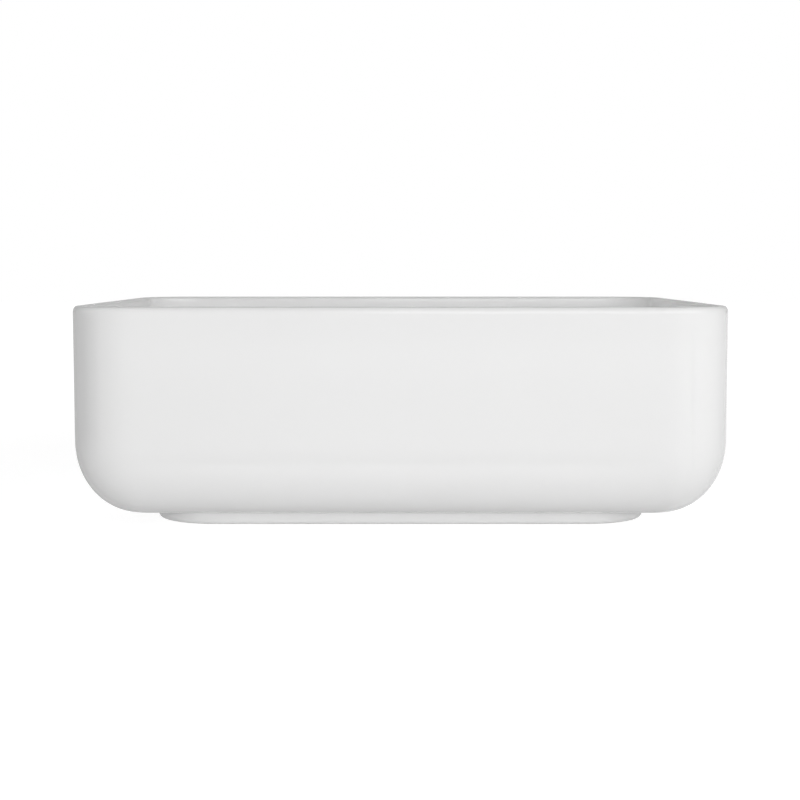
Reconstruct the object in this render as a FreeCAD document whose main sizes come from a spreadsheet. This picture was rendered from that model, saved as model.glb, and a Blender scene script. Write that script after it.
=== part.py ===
"""Countertop basin with a push-button waste. Each piece is a solid of its own, in millimetres.

Origin: centre of the foot, on the counter. +X runs along the width, -Y faces the user, +Z is up.
The plug is stored pressed down, so the waste is closed.
"""
import math
import os

import FreeCAD
import Part
import Sketcher

FULL_TURN = 360
LEVEL_TOLERANCE = 1e-4
# Each groove of a crown runs right across its face, so four grooves make eight notches.
CROWN_GROOVES = 4
CROWN_SPAN = 180 - 180 / CROWN_GROOVES

# Driving sizes. Levels are heights above the counter, and angles are in degrees.
SIZES = {
    "basin_width": 410.0,
    "basin_depth": 330.0,
    "basin_height": 140.0,
    "plan_radius": 43.5,
    "base_blend": 42.5,
    "foot_width": 320.0,
    "foot_depth": 236.0,
    "foot_height": 9.0,
    "foot_radius": 42.0,
    "foot_edge": 1.5,
    "foot_bite": 1.0,
    "ring_width": 14.0,
    "recess_height": 27.0,
    "recess_taper": 8.0,
    "recess_blend": 6.0,
    "drain_pad_radius": 36.0,
    "drain_pad_level": 22.0,
    "drain_pad_bite": 1.0,
    "rim_thickness": 8.0,
    "rim_round": 2.5,
    "bowl_taper": 2.0,
    "bowl_blend": 30.0,
    "floor_level": 38.0,
    "floor_fall": 1.6,
    "drain_radius": 23.0,
    "seat_radius": 34.0,
    "seat_chamfer": 5.0,
    "seat_lip_drop": 0.5,
    "seat_level": 34.0,
    "flange_gasket_thickness": 1.6,
    "flange_gasket_inner": 21.6,
    "flange_gasket_outer": 31.0,
    "flange_radius": 32.0,
    "flange_thickness": 2.4,
    "flange_edge": 0.6,
    "flange_flat": 24.0,
    "throat_depth": 4.5,
    "tube_radius": 20.95,
    "tube_bore": 18.2,
    "outlet_level": 2.5,
    "spigot_radius": 20.5,
    "spigot_length": 6.0,
    "thread_clearance": 0.05,
    "base_gasket_inner": 21.25,
    "base_gasket_outer": 31.0,
    "base_gasket_thickness": 5.0,
    "lip_radius": 22.6,
    "lip_height": 3.0,
    "lip_lead": 0.7,
    "slip_washer_inner": 21.3,
    "slip_washer_outer": 30.0,
    "slip_washer_thickness": 1.2,
    "lock_nut_flats": 54.0,
    "lock_nut_height": 7.0,
    "nut_trim_run": 1.0,
    "nut_trim_angle": 30.0,
    "boss_radius": 12.6,
    "boss_level": 20.0,
    "boss_height": 5.0,
    "bar_width": 4.0,
    "bar_height": 4.0,
    "bar_bite": 1.0,
    "housing_radius": 9.0,
    "housing_bore": 6.9,
    "housing_bottom": 3.5,
    "housing_top": 29.5,
    "housing_clearance": 0.1,
    "collar_radius": 11.5,
    "collar_height": 2.0,
    "rib_radius": 5.7,
    "rib_bottom": 16.0,
    "slot_width": 4.6,
    "slot_reach": 6.65,
    "cartridge_nut_flats": 21.5,
    "cartridge_nut_height": 3.5,
    "guide_cap_radius": 10.8,
    "guide_cap_thickness": 3.0,
    "guide_cap_edge": 0.8,
    "end_plug_thickness": 2.0,
    "end_plug_head": 0.8,
    "end_plug_head_radius": 8.2,
    "post_radius": 3.4,
    "post_height": 2.5,
    "key_slot_width": 1.4,
    "key_slot_depth": 0.9,
    "spring_mean_radius": 4.55,
    "spring_wire_radius": 0.35,
    "spring_turns": 4.0,
    "spring_seat_gap": 0.02,
    "rotor_level": 11.0,
    "rotor_height": 4.2,
    "rotor_radius": 5.4,
    "rotor_lug_height": 4.0,
    "lug_width": 4.0,
    "lug_reach": 6.3,
    "crown_gap": 0.3,
    "crown_depth": 0.9,
    "crown_width": 1.8,
    "pilot_radius": 2.0,
    "pilot_length": 3.0,
    "pilot_root": 1.5,
    "running_clearance": 0.05,
    "plunger_height": 5.0,
    "plunger_lug_step": 0.7,
    "socket_depth": 3.5,
    "spindle_radius": 3.0,
    "spindle_point": 0.5,
    "jam_nut_flats": 10.0,
    "jam_nut_height": 3.2,
    "cap_radius": 31.5,
    "cap_edge_height": 1.4,
    "cap_crown": 3.4,
    "cap_lift": 1.2,
    "cap_boss_radius": 6.5,
    "cap_boss_depth": 2.8,
    "cap_thread_depth": 5.0,
    "cap_seal_inner": 24.6,
    "cap_seal_outer": 29.0,
    "seal_groove_depth": 0.8,
    "seal_side_gap": 0.15,
}

# Sizes that follow from the driving ones, as sheet formulas.
DERIVED = {
    "flange_gasket_top": "seat_level + flange_gasket_thickness",
    "flange_top": "flange_gasket_top + flange_thickness",
    "throat_level": "flange_top - throat_depth",
    "thread_end": "outlet_level + spigot_length",
    "base_gasket_bottom": "drain_pad_level - base_gasket_thickness",
    "lip_top": "drain_pad_level + lip_height",
    "slip_washer_bottom": "base_gasket_bottom - slip_washer_thickness",
    "lock_nut_bottom": "slip_washer_bottom - lock_nut_height",
    "lock_nut_corner": "lock_nut_flats / sqrt(3)",
    "boss_top": "boss_level + boss_height",
    "boss_bore": "housing_radius + housing_clearance",
    "collar_top": "boss_top + collar_height",
    "cartridge_nut_bottom": "boss_level - cartridge_nut_height",
    "cartridge_nut_corner": "cartridge_nut_flats / sqrt(3)",
    "guide_cap_top": "housing_top + guide_cap_thickness",
    "guide_bore": "spindle_radius + running_clearance",
    "guide_skirt": "housing_radius + thread_clearance",
    "end_plug_top": "housing_bottom + end_plug_thickness",
    "end_plug_radius": "housing_bore - thread_clearance",
    "post_top": "end_plug_top + post_height",
    "spring_start": "end_plug_top + spring_wire_radius + spring_seat_gap",
    "spring_rise": "rotor_level - end_plug_top - 2 * (spring_wire_radius + spring_seat_gap)",
    "spring_pitch": "spring_rise / spring_turns",
    "rotor_top": "rotor_level + rotor_height",
    "rotor_bore": "pilot_radius + running_clearance",
    "plunger_bottom": "rotor_top + crown_gap",
    "plunger_top": "plunger_bottom + plunger_height",
    "plunger_lug_bottom": "plunger_bottom + plunger_lug_step",
    "pilot_bottom": "plunger_bottom - pilot_length",
    "socket_bottom": "plunger_top - socket_depth",
    "thread_bore": "spindle_radius + thread_clearance",
    "cap_bottom": "flange_top + cap_lift",
    "cap_shoulder": "cap_bottom + cap_edge_height",
    "cap_top": "cap_shoulder + cap_crown",
    "cap_dome": "(cap_radius * cap_radius + cap_crown * cap_crown) / (2 * cap_crown)",
    "cap_boss_bottom": "cap_bottom - cap_boss_depth",
    "cap_thread_top": "cap_boss_bottom + cap_thread_depth",
    "spindle_top": "cap_thread_top - spindle_point",
    "jam_nut_bottom": "cap_boss_bottom - jam_nut_height",
    "jam_nut_corner": "jam_nut_flats / sqrt(3)",
    "cap_seal_top": "cap_bottom + seal_groove_depth",
    "groove_inner": "cap_seal_inner - seal_side_gap",
    "groove_outer": "cap_seal_outer + seal_side_gap",
    "bowl_width": "basin_width - 2 * rim_thickness",
    "bowl_depth": "basin_depth - 2 * rim_thickness",
    "bowl_radius": "plan_radius - rim_thickness",
    "recess_width": "foot_width - 2 * ring_width",
    "recess_depth": "foot_depth - 2 * ring_width",
    "recess_radius": "foot_radius - ring_width",
    "bowl_drop": "basin_height - floor_level",
    "fall_reach": "basin_width",
    "fall_level": "floor_level + fall_reach * tan(floor_fall)",
    "fall_root": "floor_level - foot_height",
    "wall_height": "basin_height - foot_height",
    "foot_root": "foot_height + foot_bite",
    "seat_lip": "floor_level - seat_lip_drop",
    "seat_flare": "seat_radius + seat_chamfer",
    "seat_cut_top": "seat_lip + seat_chamfer",
    "drain_cut_bottom": "drain_pad_level - foot_height",
    "drain_pad_rise": "recess_height - drain_pad_level + drain_pad_bite",
    "flange_shoulder": "flange_top - flange_edge",
    "flange_crest": "flange_radius - flange_edge",
    "bar_reach": "tube_bore + bar_bite",
    "lock_nut_bore": "tube_radius + thread_clearance",
    "lip_tip": "lip_radius - lip_lead",
    "rib_length": "housing_top - rib_bottom",
    "guide_cap_shoulder": "guide_cap_top - guide_cap_edge",
    "guide_cap_crest": "guide_cap_radius - guide_cap_edge",
    "cartridge_nut_bore": "housing_radius + thread_clearance",
    "end_plug_base": "housing_bottom - end_plug_head",
    "plunger_lug_height": "plunger_height - plunger_lug_step",
    "pilot_rise": "pilot_length + pilot_root",
    "notch_half": "crown_width / 2",
    "notch_run": "2 * lug_reach",
    "rotor_notch_root": "rotor_top - crown_depth",
    "plunger_notch_root": "plunger_bottom + crown_depth",
    "spindle_shoulder": "spindle_top - spindle_point",
    "spindle_tip": "spindle_radius - spindle_point",
}

# Each hexagon nut has a cone that trims its lower corners.
for nut in ("lock_nut", "cartridge_nut", "jam_nut"):
    DERIVED[f"{nut}_half"] = f"{nut}_flats / 2"
    DERIVED[f"{nut}_clear"] = f"{nut}_corner + nut_trim_run"
    DERIVED[f"{nut}_rise"] = f"{nut}_bottom + ({nut}_clear - {nut}_half) * tan(nut_trim_angle)"

doc = FreeCAD.newDocument("basin")
sheet = doc.addObject("Spreadsheet::Sheet", "Sizes")


def fill_sheet():
    """Write every size into the sheet under its own name."""
    cells = [(name, str(size)) for name, size in SIZES.items()]
    cells += [(name, "=" + formula) for name, formula in DERIVED.items()]
    for row, (name, text) in enumerate(cells, 1):
        sheet.set(f"A{row}", name)
        sheet.set(f"B{row}", text)
        sheet.setAlias(f"B{row}", name)
    doc.recompute()


def size(name):
    """The present value of one named size."""
    return float(getattr(sheet, name))


def drive(obj, path, formula):
    """Bind a property to the sheet. The formula is one size's name, or a name after a minus sign."""
    sign = "-" if formula.startswith("-") else ""
    obj.setExpression(path, f"{sign}Sizes.{formula.lstrip('-')}")


def new_body(label):
    body = doc.addObject("PartDesign::Body", label)
    body.Label = label
    return body


def new_sketch(body, name, role, level=None):
    """An empty sketch on one of the body's origin planes, raised to a level if one is named."""
    plane = next(f for f in body.Origin.OriginFeatures if f.Role == role)
    sketch = body.newObject("Sketcher::SketchObject", name)
    sketch.AttachmentSupport = (plane, [""])
    sketch.MapMode = "FlatFace"
    if level:
        drive(sketch, "AttachmentOffset.Base.z", level)
    return sketch


def bind(sketch, constraint, name):
    """Add a dimension to a sketch and drive it from the sheet."""
    index = sketch.addConstraint(constraint)
    drive(sketch, f"Constraints[{index}]", name)


def profile(body, name, corners, role="XZ_Plane"):
    """Closed profile, counter-clockwise, through (radius, level) corners named by their sizes.

    A radius named axis lies on the axis. A third name makes the run to the next corner an arc of that
    radius.
    """
    sketch = new_sketch(body, name, role)
    points = []
    for corner in corners:
        radius = 0.0 if corner[0] == "axis" else size(corner[0])
        points.append(FreeCAD.Vector(radius, size(corner[1]), 0))
    count = len(corners)
    for index, corner in enumerate(corners):
        start, end = points[index], points[(index + 1) % count]
        if len(corner) == 3:
            sketch.addGeometry(arc_between(start, end, size(corner[2])))
        else:
            sketch.addGeometry(Part.LineSegment(start, end))
    for index in range(count):
        sketch.addConstraint(Sketcher.Constraint("Coincident", index, 2, (index + 1) % count, 1))
    for index, corner in enumerate(corners):
        if corner[0] == "axis":
            sketch.addConstraint(Sketcher.Constraint("PointOnObject", index, 1, -2))
        else:
            bind(sketch, Sketcher.Constraint("DistanceX", -1, 1, index, 1, points[index].x), corner[0])
        bind(sketch, Sketcher.Constraint("DistanceY", -1, 1, index, 1, points[index].y), corner[1])
        if len(corner) == 3:
            bind(sketch, Sketcher.Constraint("Radius", index, size(corner[2])), corner[2])
    return sketch


def arc_between(start, end, radius):
    """Counter-clockwise arc of a given radius from start to end, less than half a turn."""
    middle = (start + end) * 0.5
    chord = end - start
    reach = math.sqrt(radius**2 - (chord.Length / 2) ** 2)
    left = FreeCAD.Vector(-chord.y, chord.x, 0).normalize()
    centre = middle + left * reach
    first = math.atan2(start.y - centre.y, start.x - centre.x)
    last = math.atan2(end.y - centre.y, end.x - centre.x)
    return Part.ArcOfCircle(Part.Circle(centre, FreeCAD.Vector(0, 0, 1), radius), first, last)


def rounded_rectangle(body, name, width, depth, radius, level=None):
    """Rectangle with round corners, centred on the axis."""
    sketch = new_sketch(body, name, "XY_Plane", level)
    x, y, r = size(width) / 2, size(depth) / 2, size(radius)
    ends = [(r - x, -y), (x - r, -y), (x, r - y), (x, y - r)]
    ends += [(-along, -across) for along, across in ends]
    centres = [(x - r, r - y), (x - r, y - r), (r - x, y - r), (r - x, r - y)]
    for side, centre in enumerate(centres):
        start, end = ends[2 * side], ends[2 * side + 1]
        sketch.addGeometry(Part.LineSegment(FreeCAD.Vector(*start), FreeCAD.Vector(*end)))
        corner = Part.Circle(FreeCAD.Vector(*centre), FreeCAD.Vector(0, 0, 1), r)
        first = (side - 1) * math.pi / 2
        sketch.addGeometry(Part.ArcOfCircle(corner, first, first + math.pi / 2))
    for index in range(8):
        sketch.addConstraint(Sketcher.Constraint("Tangent", index, 2, (index + 1) % 8, 1))
    for index, way in ((0, "Horizontal"), (2, "Vertical"), (4, "Horizontal"), (6, "Vertical")):
        sketch.addConstraint(Sketcher.Constraint(way, index))
    for index in (3, 5, 7):
        sketch.addConstraint(Sketcher.Constraint("Equal", 1, index))
    sketch.addConstraint(Sketcher.Constraint("Symmetric", 0, 1, 4, 1, -1, 1))
    bind(sketch, Sketcher.Constraint("DistanceX", 6, 1, 2, 1, 2 * x), width)
    bind(sketch, Sketcher.Constraint("DistanceY", 0, 1, 4, 1, 2 * y), depth)
    bind(sketch, Sketcher.Constraint("Radius", 1, r), radius)
    return sketch


def bar(body, name, reach, width, level, along_x=True):
    """Rectangle centred on the axis, from -reach to +reach one way and width across."""
    sketch = new_sketch(body, name, "XY_Plane", level)
    half_x, half_y = size(reach), size(width) / 2
    if not along_x:
        half_x, half_y = half_y, half_x
    ends = [(-half_x, -half_y), (half_x, -half_y), (half_x, half_y), (-half_x, half_y)]
    for index in range(4):
        start, end = ends[index], ends[(index + 1) % 4]
        sketch.addGeometry(Part.LineSegment(FreeCAD.Vector(*start), FreeCAD.Vector(*end)))
    for index in range(4):
        sketch.addConstraint(Sketcher.Constraint("Coincident", index, 2, (index + 1) % 4, 1))
        way = "Horizontal" if index % 2 == 0 else "Vertical"
        sketch.addConstraint(Sketcher.Constraint(way, index))
    sketch.addConstraint(Sketcher.Constraint("Symmetric", 0, 1, 2, 1, -1, 1))
    if along_x:
        bind(sketch, Sketcher.Constraint("DistanceX", -1, 1, 2, 1, half_x), reach)
        bind(sketch, Sketcher.Constraint("DistanceY", 0, 1, 2, 1, 2 * half_y), width)
    else:
        bind(sketch, Sketcher.Constraint("DistanceY", -1, 1, 2, 1, half_y), reach)
        bind(sketch, Sketcher.Constraint("DistanceX", 0, 1, 2, 1, 2 * half_x), width)
    return sketch


def hexagon(body, name, corner, level):
    """Hexagon centred on the axis, sized by its corner radius."""
    sketch = new_sketch(body, name, "XY_Plane", level)
    r = size(corner)
    angles = [k * math.pi / 3 for k in range(6)]
    ends = [FreeCAD.Vector(r * math.cos(angle), r * math.sin(angle), 0) for angle in angles]
    for k in range(6):
        sketch.addGeometry(Part.LineSegment(ends[k], ends[(k + 1) % 6]))
    sketch.addGeometry(Part.Circle(FreeCAD.Vector(0, 0, 0), FreeCAD.Vector(0, 0, 1), r), True)
    for k in range(6):
        sketch.addConstraint(Sketcher.Constraint("Coincident", k, 2, (k + 1) % 6, 1))
        sketch.addConstraint(Sketcher.Constraint("PointOnObject", k, 1, 6))
    for k in range(1, 6):
        sketch.addConstraint(Sketcher.Constraint("Equal", 0, k))
    sketch.addConstraint(Sketcher.Constraint("Horizontal", 1))
    sketch.addConstraint(Sketcher.Constraint("Coincident", 6, 3, -1, 1))
    bind(sketch, Sketcher.Constraint("Radius", 6, r), corner)
    return sketch


def circle(body, name, radius, level):
    sketch = new_sketch(body, name, "XY_Plane", level)
    sketch.addGeometry(Part.Circle(FreeCAD.Vector(0, 0, 0), FreeCAD.Vector(0, 0, 1), size(radius)))
    sketch.addConstraint(Sketcher.Constraint("Coincident", 0, 3, -1, 1))
    bind(sketch, Sketcher.Constraint("Radius", 0, size(radius)), radius)
    return sketch


def extrude(body, kind, name, sketch, length, down=False, taper=None):
    """A Pad, or a Pocket that cuts upward unless down is set."""
    feature = body.newObject(f"PartDesign::{kind}", name)
    feature.Profile = sketch
    drive(feature, "Length", length)
    feature.Reversed = down if kind == "Pad" else not down
    if taper:
        drive(feature, "TaperAngle", taper)
    doc.recompute()
    return feature


def turn(body, kind, name, sketch):
    """A Revolution or Groove of a profile, a full turn about the axis."""
    feature = body.newObject(f"PartDesign::{kind}", name)
    feature.Profile = sketch
    feature.ReferenceAxis = (sketch, ["V_Axis"])
    feature.Angle = FULL_TURN
    doc.recompute()
    return feature


def dress(body, kind, name, radius, wanted):
    """A Fillet or Chamfer on the edges of the body's last feature that the test accepts."""
    base = body.Tip
    names = [f"Edge{k}" for k, edge in enumerate(base.Shape.Edges, 1) if wanted(edge)]
    feature = body.newObject(f"PartDesign::{kind}", name)
    feature.Base = (base, names)
    drive(feature, "Radius" if kind == "Fillet" else "Size", radius)
    doc.recompute()
    return feature


def at_level(level):
    """Test for edges that lie flat at a level."""

    def lies_there(edge):
        low, high = edge.BoundBox.ZMin, edge.BoundBox.ZMax
        return max(abs(low - level), abs(high - level)) < LEVEL_TOLERANCE

    return lies_there


def bowl_void():
    """The space inside the bowl: tapered walls, a floor that falls to the drain, and a blend between."""
    body = new_body("bowl_void")
    mouth = rounded_rectangle(body, "bowl_mouth", "bowl_width", "bowl_depth", "bowl_radius", "basin_height")
    extrude(body, "Pad", "bowl_walls", mouth, "bowl_drop", down=True, taper="-bowl_taper")
    corners = [
        ("axis", "fall_root"),
        ("fall_reach", "fall_root"),
        ("fall_reach", "fall_level"),
        ("axis", "floor_level"),
    ]
    turn(body, "Groove", "bowl_floor", profile(body, "floor_line", corners))
    dress(body, "Fillet", "floor_blend", "bowl_blend", on_floor_edge)
    return body


def on_floor_edge(edge):
    """True where the bowl's wall meets its floor."""
    reach = min(math.hypot(vertex.X, vertex.Y) for vertex in edge.Vertexes)
    return edge.BoundBox.ZMax < size("basin_height") / 2 and reach > size("seat_flare")


def basin():
    """The ceramic: upright walls blended into a flat base, a low foot ring, the bowl and the drain."""
    void = bowl_void()
    body = new_body("basin")
    plan = rounded_rectangle(body, "plan", "basin_width", "basin_depth", "plan_radius", "foot_height")
    extrude(body, "Pad", "walls", plan, "wall_height")
    dress(body, "Fillet", "base_edge", "base_blend", at_level(size("foot_height")))
    foot = rounded_rectangle(body, "foot_plan", "foot_width", "foot_depth", "foot_radius")
    extrude(body, "Pad", "foot", foot, "foot_root")
    recess = rounded_rectangle(body, "recess_plan", "recess_width", "recess_depth", "recess_radius")
    extrude(body, "Pocket", "recess", recess, "recess_height", taper="-recess_taper")
    dress(body, "Fillet", "recess_edge", "recess_blend", at_level(size("recess_height")))
    pad = circle(body, "drain_pad_line", "drain_pad_radius", "drain_pad_level")
    extrude(body, "Pad", "drain_pad", pad, "drain_pad_rise")
    cut = body.newObject("PartDesign::Boolean", "bowl")
    cut.setObjects([void])
    cut.Type = "Cut"
    doc.recompute()
    corners = [
        ("axis", "drain_cut_bottom"),
        ("drain_radius", "drain_cut_bottom"),
        ("drain_radius", "seat_level"),
        ("seat_radius", "seat_level"),
        ("seat_radius", "seat_lip"),
        ("seat_flare", "seat_cut_top"),
        ("axis", "seat_cut_top"),
    ]
    turn(body, "Groove", "drain", profile(body, "drain_line", corners))
    dress(body, "Fillet", "rim", "rim_round", at_level(size("basin_height")))
    dress(body, "Fillet", "foot_round", "foot_edge", at_level(0.0))
    return body


def ring(label, corners):
    """A piece turned from one profile."""
    body = new_body(label)
    turn(body, "Revolution", "turned", profile(body, "section", corners))
    return body


def plain_ring(label, bottom, top):
    """A ring of square section. Its radii carry its own name."""
    inner, outer = f"{label}_inner", f"{label}_outer"
    return ring(label, [(inner, bottom), (outer, bottom), (outer, top), (inner, top)])


def hex_nut(label, bore):
    """A hexagon nut with its lower corners trimmed by a cone. Its sizes carry its own name."""
    body = new_body(label)
    outline = hexagon(body, "outline", f"{label}_corner", f"{label}_bottom")
    extrude(body, "Pad", "block", outline, f"{label}_height")
    hole = circle(body, "hole_line", bore, f"{label}_bottom")
    extrude(body, "Pocket", "hole", hole, f"{label}_height")
    corners = [
        (f"{label}_half", f"{label}_bottom"),
        (f"{label}_clear", f"{label}_bottom"),
        (f"{label}_clear", f"{label}_rise"),
    ]
    turn(body, "Groove", "trim", profile(body, "trim_line", corners))
    return body


def waste_body():
    """Flange and threaded tube, with a cross of bars inside that carries the cartridge."""
    corners = [
        ("tube_bore", "outlet_level"),
        ("spigot_radius", "outlet_level"),
        ("spigot_radius", "thread_end"),
        ("tube_radius", "thread_end"),
        ("tube_radius", "flange_gasket_top"),
        ("flange_radius", "flange_gasket_top"),
        ("flange_radius", "flange_shoulder"),
        ("flange_crest", "flange_top"),
        ("flange_flat", "flange_top"),
        ("tube_bore", "throat_level"),
    ]
    body = ring("waste_body", corners)
    for name, along_x in (("bar_x", True), ("bar_y", False)):
        line = bar(body, f"{name}_line", "bar_reach", "bar_width", "boss_level", along_x)
        extrude(body, "Pad", name, line, "bar_height")
    boss = circle(body, "boss_line", "boss_radius", "boss_level")
    extrude(body, "Pad", "boss", boss, "boss_height")
    hole = circle(body, "boss_hole_line", "boss_bore", "boss_level")
    extrude(body, "Pocket", "boss_hole", hole, "boss_height")
    return body


def base_gasket():
    corners = [
        ("base_gasket_inner", "base_gasket_bottom"),
        ("base_gasket_outer", "base_gasket_bottom"),
        ("base_gasket_outer", "drain_pad_level"),
        ("lip_radius", "drain_pad_level"),
        ("lip_tip", "lip_top"),
        ("base_gasket_inner", "lip_top"),
    ]
    return ring("base_gasket", corners)


def cartridge_housing():
    """Sleeve of the click mechanism. Its collar sits on the waste's boss, and ribs guide the lugs."""
    corners = [
        ("housing_bore", "housing_bottom"),
        ("housing_radius", "housing_bottom"),
        ("housing_radius", "boss_top"),
        ("collar_radius", "boss_top"),
        ("collar_radius", "collar_top"),
        ("housing_radius", "collar_top"),
        ("housing_radius", "housing_top"),
        ("rib_radius", "housing_top"),
        ("rib_radius", "rib_bottom"),
        ("housing_bore", "rib_bottom"),
    ]
    body = ring("cartridge_housing", corners)
    for name, along_x in (("slot_x", True), ("slot_y", False)):
        line = bar(body, f"{name}_line", "slot_reach", "slot_width", "rib_bottom", along_x)
        extrude(body, "Pocket", name, line, "rib_length")
    return body


def guide_cap():
    corners = [
        ("guide_bore", "housing_top"),
        ("guide_skirt", "housing_top"),
        ("guide_skirt", "collar_top"),
        ("guide_cap_radius", "collar_top"),
        ("guide_cap_radius", "guide_cap_shoulder"),
        ("guide_cap_crest", "guide_cap_top"),
        ("guide_bore", "guide_cap_top"),
    ]
    return ring("guide_cap", corners)


def end_plug():
    """Screwed plug that closes the cartridge and centres the spring on a post."""
    corners = [
        ("axis", "end_plug_base"),
        ("end_plug_head_radius", "end_plug_base"),
        ("end_plug_head_radius", "housing_bottom"),
        ("end_plug_radius", "housing_bottom"),
        ("end_plug_radius", "end_plug_top"),
        ("post_radius", "end_plug_top"),
        ("post_radius", "post_top"),
        ("axis", "post_top"),
    ]
    body = ring("end_plug", corners)
    slot = bar(body, "key_slot_line", "end_plug_head_radius", "key_slot_width", "end_plug_base")
    extrude(body, "Pocket", "key_slot", slot, "key_slot_depth")
    return body


def return_spring():
    body = new_body("return_spring")
    wire = new_sketch(body, "wire", "XZ_Plane")
    centre = FreeCAD.Vector(size("spring_mean_radius"), size("spring_start"), 0)
    wire.addGeometry(Part.Circle(centre, FreeCAD.Vector(0, 0, 1), size("spring_wire_radius")))
    bind(wire, Sketcher.Constraint("DistanceX", -1, 1, 0, 3, centre.x), "spring_mean_radius")
    bind(wire, Sketcher.Constraint("DistanceY", -1, 1, 0, 3, centre.y), "spring_start")
    bind(wire, Sketcher.Constraint("Radius", 0, size("spring_wire_radius")), "spring_wire_radius")
    coil = body.newObject("PartDesign::AdditiveHelix", "coil")
    coil.Profile = wire
    coil.ReferenceAxis = (wire, ["V_Axis"])
    coil.Mode = "pitch-height-angle"
    drive(coil, "Pitch", "spring_pitch")
    drive(coil, "Height", "spring_rise")
    doc.recompute()
    return body


def lugs(body, level, height):
    """A cross of two bars that makes four lugs."""
    for name, along_x in (("lug_x", True), ("lug_y", False)):
        line = bar(body, f"{name}_line", "lug_reach", "lug_width", level, along_x)
        extrude(body, "Pad", name, line, height)


def crown(body, face, root):
    """V notches in an end face, cut as grooves right across it."""
    line = new_sketch(body, "notch_line", "XZ_Plane", "lug_reach")
    half, top, bottom = size("notch_half"), size(face), size(root)
    ends = [FreeCAD.Vector(-half, top, 0), FreeCAD.Vector(0, bottom, 0), FreeCAD.Vector(half, top, 0)]
    for index in range(3):
        line.addGeometry(Part.LineSegment(ends[index], ends[(index + 1) % 3]))
    for index in range(3):
        line.addConstraint(Sketcher.Constraint("Coincident", index, 2, (index + 1) % 3, 1))
    line.addConstraint(Sketcher.Constraint("Symmetric", 0, 1, 2, 1, -2))
    line.addConstraint(Sketcher.Constraint("PointOnObject", 1, 1, -2))
    bind(line, Sketcher.Constraint("DistanceX", -1, 1, 2, 1, half), "notch_half")
    bind(line, Sketcher.Constraint("DistanceY", -1, 1, 2, 1, top), face)
    bind(line, Sketcher.Constraint("DistanceY", -1, 1, 1, 1, bottom), root)
    notch = extrude(body, "Pocket", "notch", line, "notch_run", down=True)
    pattern = body.newObject("PartDesign::PolarPattern", "notches")
    pattern.Originals = [notch]
    pattern.Axis = (next(f for f in body.Origin.OriginFeatures if f.Role == "Z_Axis"), [""])
    pattern.Angle = CROWN_SPAN
    pattern.Occurrences = CROWN_GROOVES
    body.Tip = pattern
    doc.recompute()


def ratchet_rotor():
    """Turning half of the click mechanism, pushed up by the spring."""
    body = new_body("ratchet_rotor")
    core = circle(body, "core_line", "rotor_radius", "rotor_level")
    extrude(body, "Pad", "core", core, "rotor_height")
    lugs(body, "rotor_level", "rotor_lug_height")
    bore = circle(body, "bore_line", "rotor_bore", "rotor_level")
    extrude(body, "Pocket", "bore", bore, "rotor_height")
    crown(body, "rotor_top", "rotor_notch_root")
    return body


def plunger():
    """Sliding half of the mechanism. Its lugs stay in the housing's slots, and its pilot holds the rotor."""
    body = new_body("plunger")
    core = circle(body, "core_line", "rotor_radius", "plunger_bottom")
    extrude(body, "Pad", "core", core, "plunger_height")
    lugs(body, "plunger_lug_bottom", "plunger_lug_height")
    crown(body, "plunger_bottom", "plunger_notch_root")
    pilot = circle(body, "pilot_line", "pilot_radius", "pilot_bottom")
    extrude(body, "Pad", "pilot", pilot, "pilot_rise")
    socket = circle(body, "socket_line", "thread_bore", "socket_bottom")
    extrude(body, "Pocket", "socket", socket, "socket_depth")
    return body


def spindle():
    corners = [
        ("axis", "socket_bottom"),
        ("spindle_radius", "socket_bottom"),
        ("spindle_radius", "spindle_shoulder"),
        ("spindle_tip", "spindle_top"),
        ("axis", "spindle_top"),
    ]
    return ring("spindle", corners)


def plug_cap():
    """Domed cap with a groove for its seal and a threaded boss for the spindle."""
    corners = [
        ("axis", "cap_thread_top"),
        ("thread_bore", "cap_thread_top"),
        ("thread_bore", "cap_boss_bottom"),
        ("cap_boss_radius", "cap_boss_bottom"),
        ("cap_boss_radius", "cap_bottom"),
        ("groove_inner", "cap_bottom"),
        ("groove_inner", "cap_seal_top"),
        ("groove_outer", "cap_seal_top"),
        ("groove_outer", "cap_bottom"),
        ("cap_radius", "cap_bottom"),
        ("cap_radius", "cap_shoulder", "cap_dome"),
        ("axis", "cap_top"),
    ]
    return ring("plug_cap", corners)


def build():
    """Every piece of the basin and its waste, in the order they are put together."""
    return [
        basin(),
        plain_ring("flange_gasket", "seat_level", "flange_gasket_top"),
        waste_body(),
        base_gasket(),
        plain_ring("slip_washer", "slip_washer_bottom", "base_gasket_bottom"),
        hex_nut("lock_nut", "lock_nut_bore"),
        cartridge_housing(),
        hex_nut("cartridge_nut", "cartridge_nut_bore"),
        guide_cap(),
        end_plug(),
        return_spring(),
        ratchet_rotor(),
        plunger(),
        spindle(),
        hex_nut("jam_nut", "thread_bore"),
        plug_cap(),
        plain_ring("cap_seal", "flange_top", "cap_seal_top"),
    ]


def check(pieces):
    """Stop on any feature in error, and on any piece that is not one valid solid."""
    for obj in doc.Objects:
        if "Invalid" in obj.State or "Error" in obj.State:
            raise RuntimeError(f"{obj.Name} is in error")
    for piece in pieces:
        shape = piece.Shape
        if shape.isNull() or not shape.isValid() or len(shape.Solids) != 1:
            raise RuntimeError(f"{piece.Label} is not one valid solid")


fill_sheet()
pieces = build()
doc.recompute()
check(pieces)
os.makedirs("parts", exist_ok=True)
for piece in pieces:
    piece.Shape.exportStep(f"parts/{piece.Label}.step")
    print(f"{piece.Label}: {piece.Shape.Volume / 1000:.2f} cm3")
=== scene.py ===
import math

import bmesh
import bpy
from mathutils import Matrix, Vector


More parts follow.
